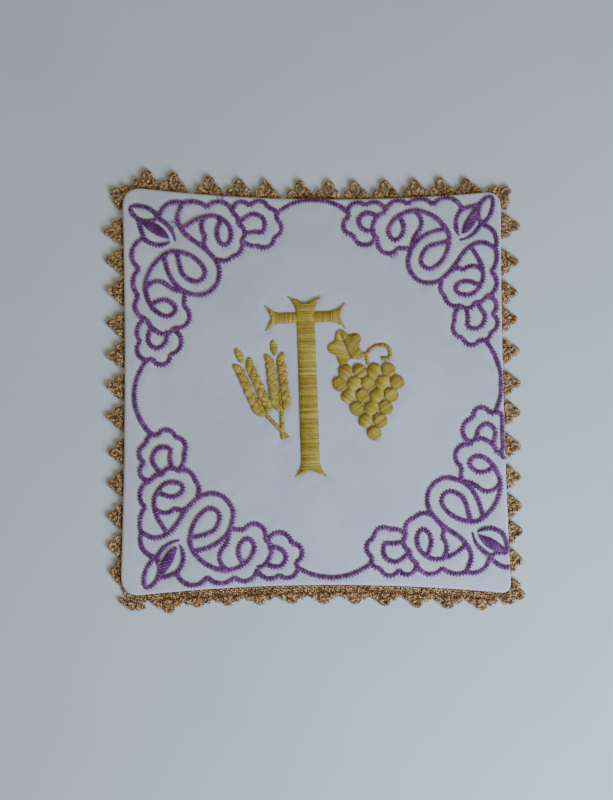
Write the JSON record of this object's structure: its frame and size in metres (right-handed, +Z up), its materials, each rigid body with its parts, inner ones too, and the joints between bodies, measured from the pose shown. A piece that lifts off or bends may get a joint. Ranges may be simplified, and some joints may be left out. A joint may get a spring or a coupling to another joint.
{
  "type": "chalice pall",
  "caption": "Stiff padded square of white cloth that covers a chalice, with purple satin-stitched corner sprays, a gold cross, wheat and grapes, and a gold lace edging.",
  "frame": {"origin": "on the surface that it lies on, under the middle of the outline with its lace", "axes": "+Z up out of the embroidered face, +Y to the top of the design, +X to its right"},
  "size_m": [0.1683, 0.178, 0.0058],
  "materials": {
    "white_cloth": "fine plain weave with a soft sheen",
    "purple_thread": "lustrous satin stitch",
    "gold_thread": "lustrous raised satin stitch",
    "gold_lace": "glittering metallic gimp thread"
  },
  "bodies": {
    "root": {"cover": "white_cloth", "lace": "gold_lace", "spray_top_left": "purple_thread", "spray_bottom_left": "purple_thread", "spray_bottom_right": "purple_thread", "spray_top_right": "purple_thread", "cross": "gold_thread", "wheat": "gold_thread", "grapes": "gold_thread"}
  },
  "joints": []
}
